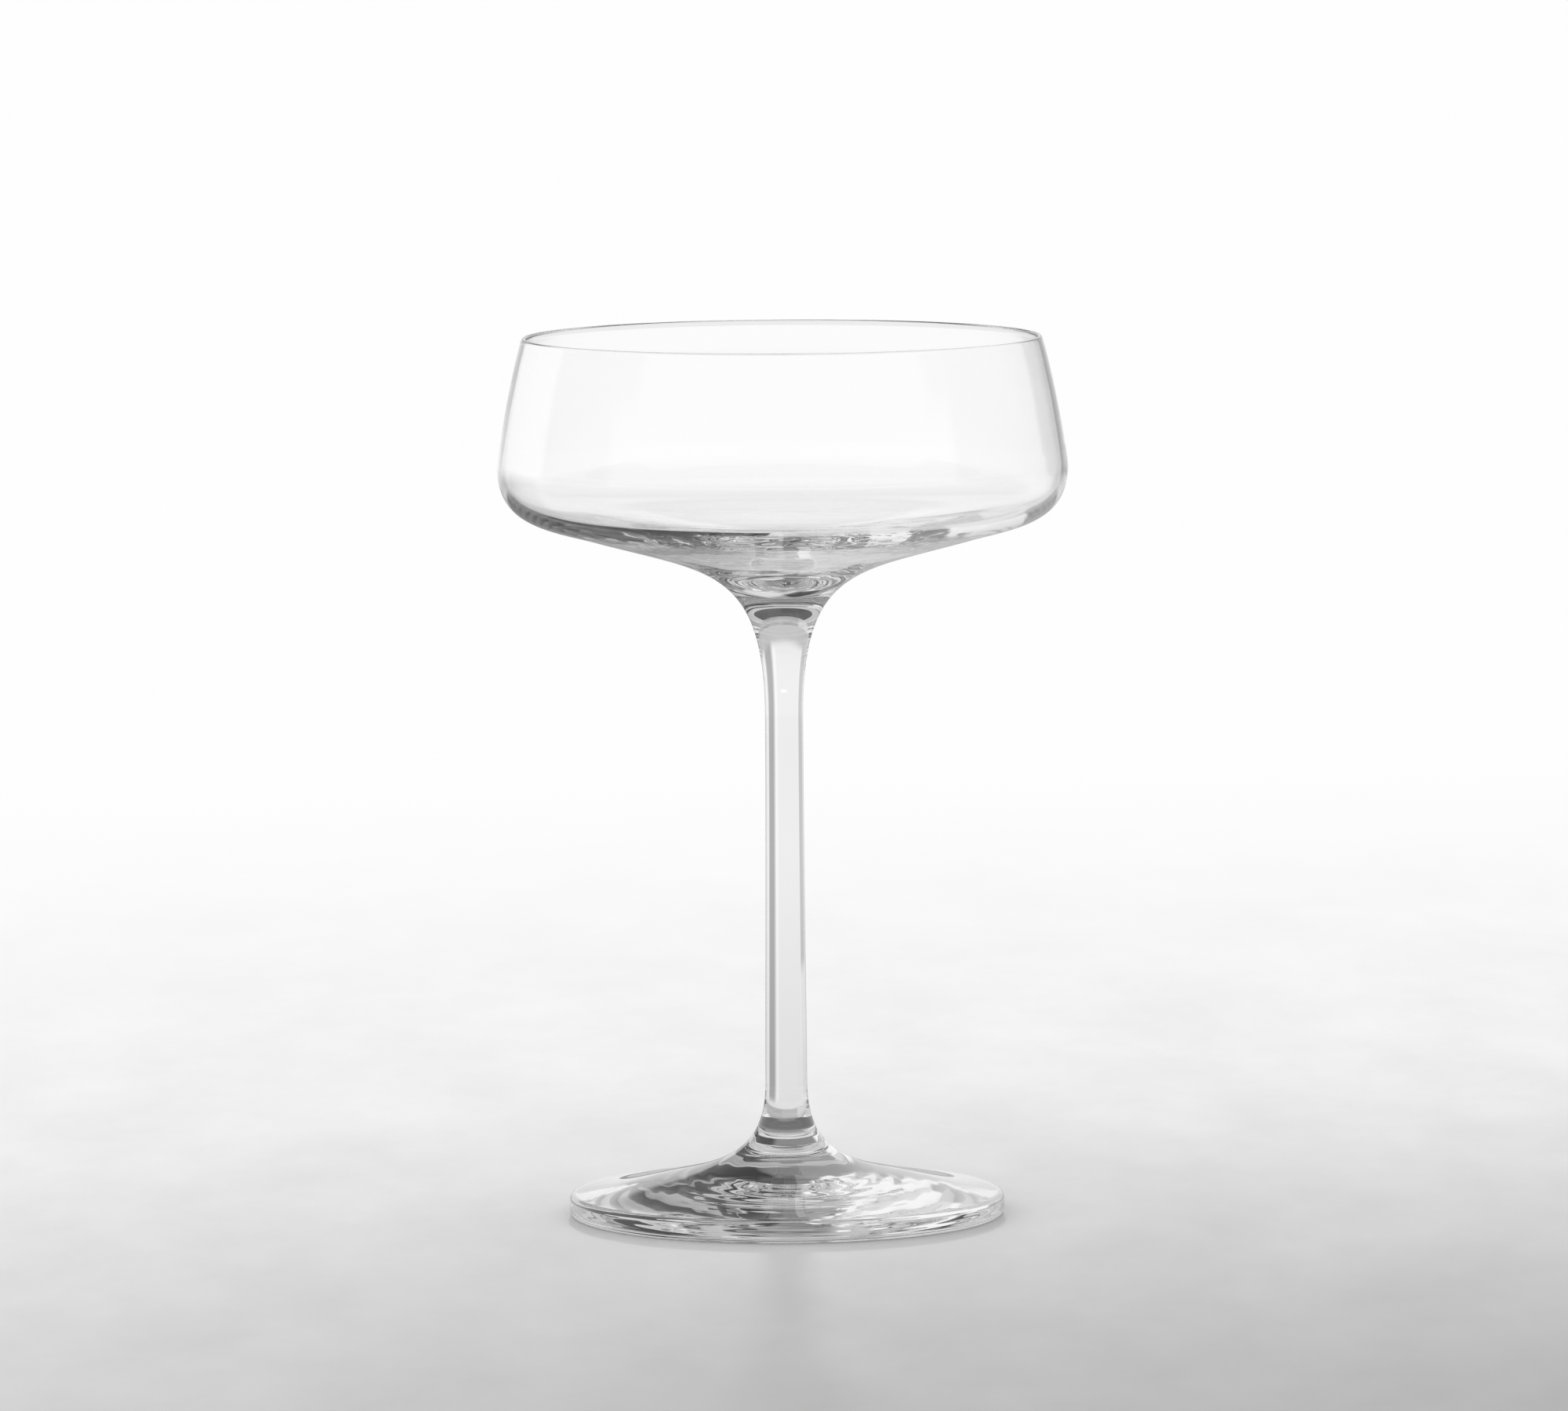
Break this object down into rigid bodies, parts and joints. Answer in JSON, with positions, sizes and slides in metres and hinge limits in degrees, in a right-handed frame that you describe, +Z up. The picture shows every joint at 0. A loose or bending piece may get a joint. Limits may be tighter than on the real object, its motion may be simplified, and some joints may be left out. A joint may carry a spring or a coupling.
{
  "type": "coupe glass",
  "caption": "Clear coupe drinking glass: wide shallow bowl with a steep inward-leaning wall, long thin stem and round foot.",
  "frame": {"origin": "middle of the flat ring under the foot, on the surface that the glass stands on", "axes": "+Z up along the stem's axis to the rim; the glass is round about Z, so X and Y are free"},
  "size_m": [0.104, 0.104, 0.161],
  "materials": {
    "clear_glass": "colourless glass, fire polished all over"
  },
  "bodies": {
    "root": {"bowl": "clear_glass", "stem": "clear_glass", "foot": "clear_glass"}
  },
  "joints": []
}
